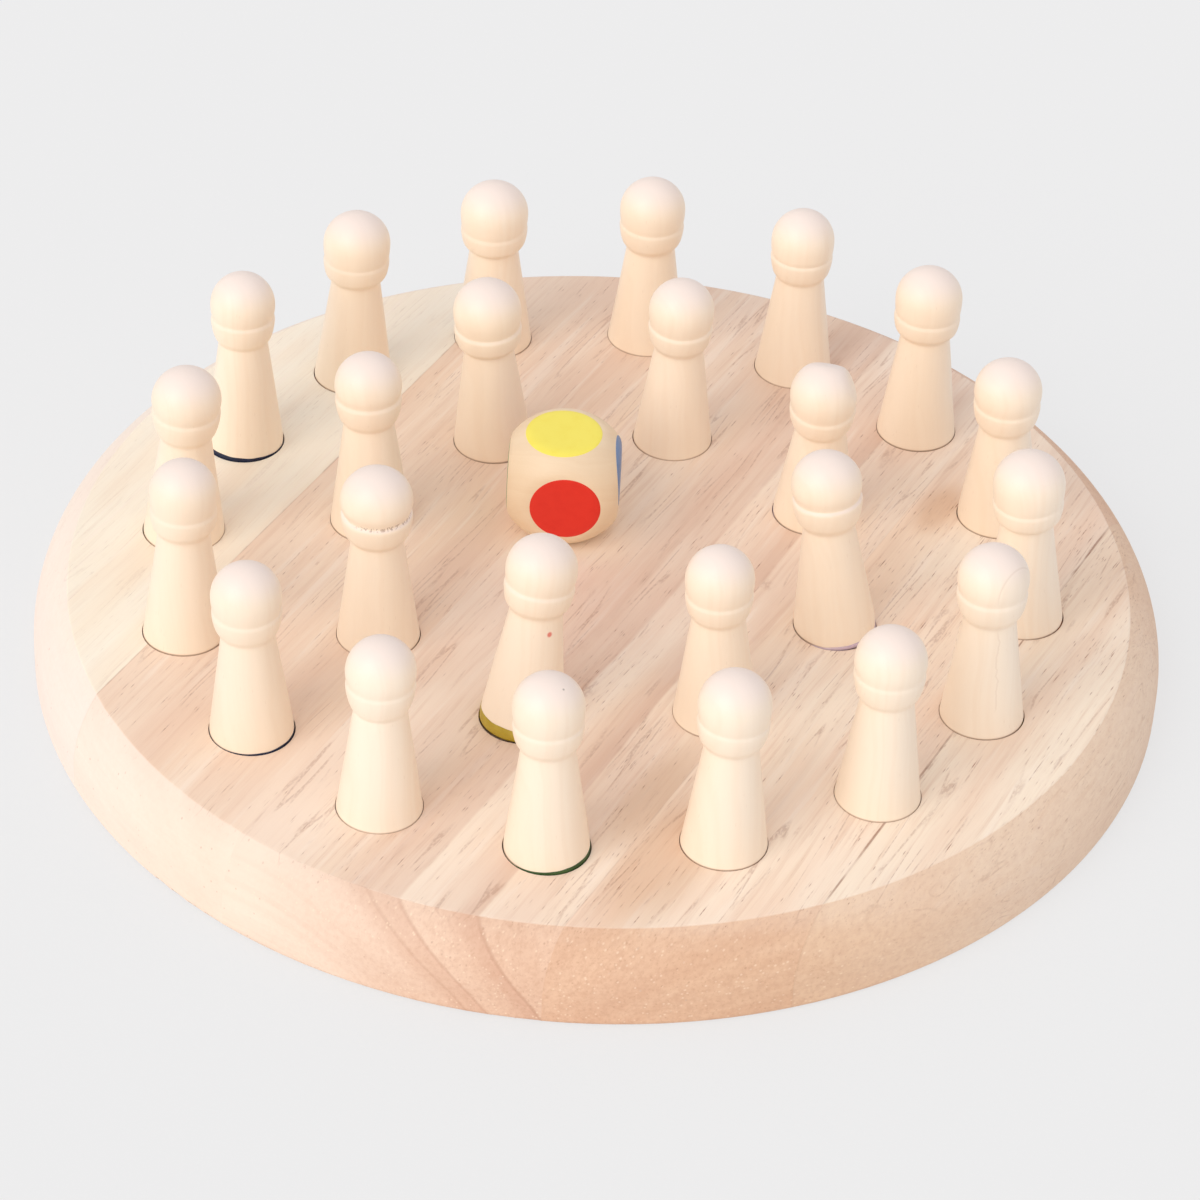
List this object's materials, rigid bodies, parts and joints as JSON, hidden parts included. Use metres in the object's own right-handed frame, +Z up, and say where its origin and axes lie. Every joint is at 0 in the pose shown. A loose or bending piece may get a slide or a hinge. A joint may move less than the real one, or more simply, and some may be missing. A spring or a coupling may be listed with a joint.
{
  "type": "wooden memory peg game",
  "caption": "Round wooden board with rings of shallow sockets for loose turned pegs whose painted feet stay hidden, and a colour die that names the colour to find.",
  "frame": {"origin": "middle of the board's underside, on the surface that it stands on", "axes": "+Z up through the board, +Y from the front of the board to its back, +X to the right seen from the front"},
  "size_m": [0.25, 0.25, 0.064],
  "materials": {
    "board_wood": "sanded, pores showing, no gloss",
    "board_wood_pale": "sanded, pores showing, no gloss",
    "peg_wood": "turned and sanded, bare",
    "die_wood": "tumbled smooth, bare",
    "paint_red": "thin satin paint",
    "paint_yellow": "thin satin paint",
    "paint_green": "thin satin paint",
    "paint_blue": "thin satin paint",
    "paint_purple": "thin satin paint",
    "paint_orange": "thin satin paint"
  },
  "bodies": {
    "board": {"stave_01": "board_wood", "stave_02": "board_wood", "stave_03": "board_wood", "stave_04": "board_wood", "stave_05": "board_wood_pale"},
    "outer_peg_01": {"outer_peg_01": "peg_wood", "outer_paint_01": "paint_blue"},
    "outer_peg_02": {"outer_peg_02": "peg_wood", "outer_paint_02": "paint_red"},
    "outer_peg_03": {"outer_peg_03": "peg_wood", "outer_paint_03": "paint_orange"},
    "outer_peg_04": {"outer_peg_04": "peg_wood", "outer_paint_04": "paint_yellow"},
    "outer_peg_05": {"outer_peg_05": "peg_wood", "outer_paint_05": "paint_purple"},
    "outer_peg_06": {"outer_peg_06": "peg_wood", "outer_paint_06": "paint_red"},
    "outer_peg_07": {"outer_peg_07": "peg_wood", "outer_paint_07": "paint_green"},
    "outer_peg_08": {"outer_peg_08": "peg_wood", "outer_paint_08": "paint_orange"},
    "outer_peg_09": {"outer_peg_09": "peg_wood", "outer_paint_09": "paint_yellow"},
    "outer_peg_10": {"outer_peg_10": "peg_wood", "outer_paint_10": "paint_blue"},
    "outer_peg_11": {"outer_peg_11": "peg_wood", "outer_paint_11": "paint_red"},
    "outer_peg_12": {"outer_peg_12": "peg_wood", "outer_paint_12": "paint_green"},
    "outer_peg_13": {"outer_peg_13": "peg_wood", "outer_paint_13": "paint_purple"},
    "outer_peg_14": {"outer_peg_14": "peg_wood", "outer_paint_14": "paint_blue"},
    "outer_peg_15": {"outer_peg_15": "peg_wood", "outer_paint_15": "paint_orange"},
    "outer_peg_16": {"outer_peg_16": "peg_wood", "outer_paint_16": "paint_yellow"},
    "inner_peg_01": {"inner_peg_01": "peg_wood", "inner_paint_01": "paint_green"},
    "inner_peg_02": {"inner_peg_02": "peg_wood", "inner_paint_02": "paint_red"},
    "inner_peg_03": {"inner_peg_03": "peg_wood", "inner_paint_03": "paint_purple"},
    "inner_peg_04": {"inner_peg_04": "peg_wood", "inner_paint_04": "paint_purple"},
    "inner_peg_05": {"inner_peg_05": "peg_wood", "inner_paint_05": "paint_orange"},
    "inner_peg_06": {"inner_peg_06": "peg_wood", "inner_paint_06": "paint_yellow"},
    "inner_peg_07": {"inner_peg_07": "peg_wood", "inner_paint_07": "paint_green"},
    "inner_peg_08": {"inner_peg_08": "peg_wood", "inner_paint_08": "paint_blue"},
    "die": {"die": "die_wood", "dot_top": "paint_yellow", "dot_front": "paint_red", "dot_right": "paint_blue", "dot_left": "paint_green", "dot_back": "paint_purple", "dot_under": "paint_orange"}
  },
  "joints": [
    {"name": "outer_peg_01_lift", "type": "slide", "parent": "board", "child": "outer_peg_01", "axis": [0, 0, 1], "range_m": [0, 0.06]},
    {"name": "outer_peg_02_lift", "type": "slide", "parent": "board", "child": "outer_peg_02", "axis": [0, 0, 1], "range_m": [0, 0.06]},
    {"name": "outer_peg_03_lift", "type": "slide", "parent": "board", "child": "outer_peg_03", "axis": [0, 0, 1], "range_m": [0, 0.06]},
    {"name": "outer_peg_04_lift", "type": "slide", "parent": "board", "child": "outer_peg_04", "axis": [0, 0, 1], "range_m": [0, 0.06]},
    {"name": "outer_peg_05_lift", "type": "slide", "parent": "board", "child": "outer_peg_05", "axis": [0, 0, 1], "range_m": [0, 0.06]},
    {"name": "outer_peg_06_lift", "type": "slide", "parent": "board", "child": "outer_peg_06", "axis": [0, 0, 1], "range_m": [0, 0.06]},
    {"name": "outer_peg_07_lift", "type": "slide", "parent": "board", "child": "outer_peg_07", "axis": [0, 0, 1], "range_m": [0, 0.06]},
    {"name": "outer_peg_08_lift", "type": "slide", "parent": "board", "child": "outer_peg_08", "axis": [0, 0, 1], "range_m": [0, 0.06]},
    {"name": "outer_peg_09_lift", "type": "slide", "parent": "board", "child": "outer_peg_09", "axis": [0, 0, 1], "range_m": [0, 0.06]},
    {"name": "outer_peg_10_lift", "type": "slide", "parent": "board", "child": "outer_peg_10", "axis": [0, 0, 1], "range_m": [0, 0.06]},
    {"name": "outer_peg_11_lift", "type": "slide", "parent": "board", "child": "outer_peg_11", "axis": [0, 0, 1], "range_m": [0, 0.06]},
    {"name": "outer_peg_12_lift", "type": "slide", "parent": "board", "child": "outer_peg_12", "axis": [0, 0, 1], "range_m": [0, 0.06]},
    {"name": "outer_peg_13_lift", "type": "slide", "parent": "board", "child": "outer_peg_13", "axis": [0, 0, 1], "range_m": [0, 0.06]},
    {"name": "outer_peg_14_lift", "type": "slide", "parent": "board", "child": "outer_peg_14", "axis": [0, 0, 1], "range_m": [0, 0.06]},
    {"name": "outer_peg_15_lift", "type": "slide", "parent": "board", "child": "outer_peg_15", "axis": [0, 0, 1], "range_m": [0, 0.06]},
    {"name": "outer_peg_16_lift", "type": "slide", "parent": "board", "child": "outer_peg_16", "axis": [0, 0, 1], "range_m": [0, 0.06]},
    {"name": "inner_peg_01_lift", "type": "slide", "parent": "board", "child": "inner_peg_01", "axis": [0, 0, 1], "range_m": [0, 0.06]},
    {"name": "inner_peg_02_lift", "type": "slide", "parent": "board", "child": "inner_peg_02", "axis": [0, 0, 1], "range_m": [0, 0.06]},
    {"name": "inner_peg_03_lift", "type": "slide", "parent": "board", "child": "inner_peg_03", "axis": [0, 0, 1], "range_m": [0, 0.06]},
    {"name": "inner_peg_04_lift", "type": "slide", "parent": "board", "child": "inner_peg_04", "axis": [0, 0, 1], "range_m": [0, 0.06]},
    {"name": "inner_peg_05_lift", "type": "slide", "parent": "board", "child": "inner_peg_05", "axis": [0, 0, 1], "range_m": [0, 0.06]},
    {"name": "inner_peg_06_lift", "type": "slide", "parent": "board", "child": "inner_peg_06", "axis": [0, 0, 1], "range_m": [0, 0.06]},
    {"name": "inner_peg_07_lift", "type": "slide", "parent": "board", "child": "inner_peg_07", "axis": [0, 0, 1], "range_m": [0, 0.06]},
    {"name": "inner_peg_08_lift", "type": "slide", "parent": "board", "child": "inner_peg_08", "axis": [0, 0, 1], "range_m": [0, 0.06]},
    {"name": "die_lift", "type": "slide", "parent": "board", "child": "die", "axis": [0, 0, 1], "range_m": [0, 0.06]}
  ]
}
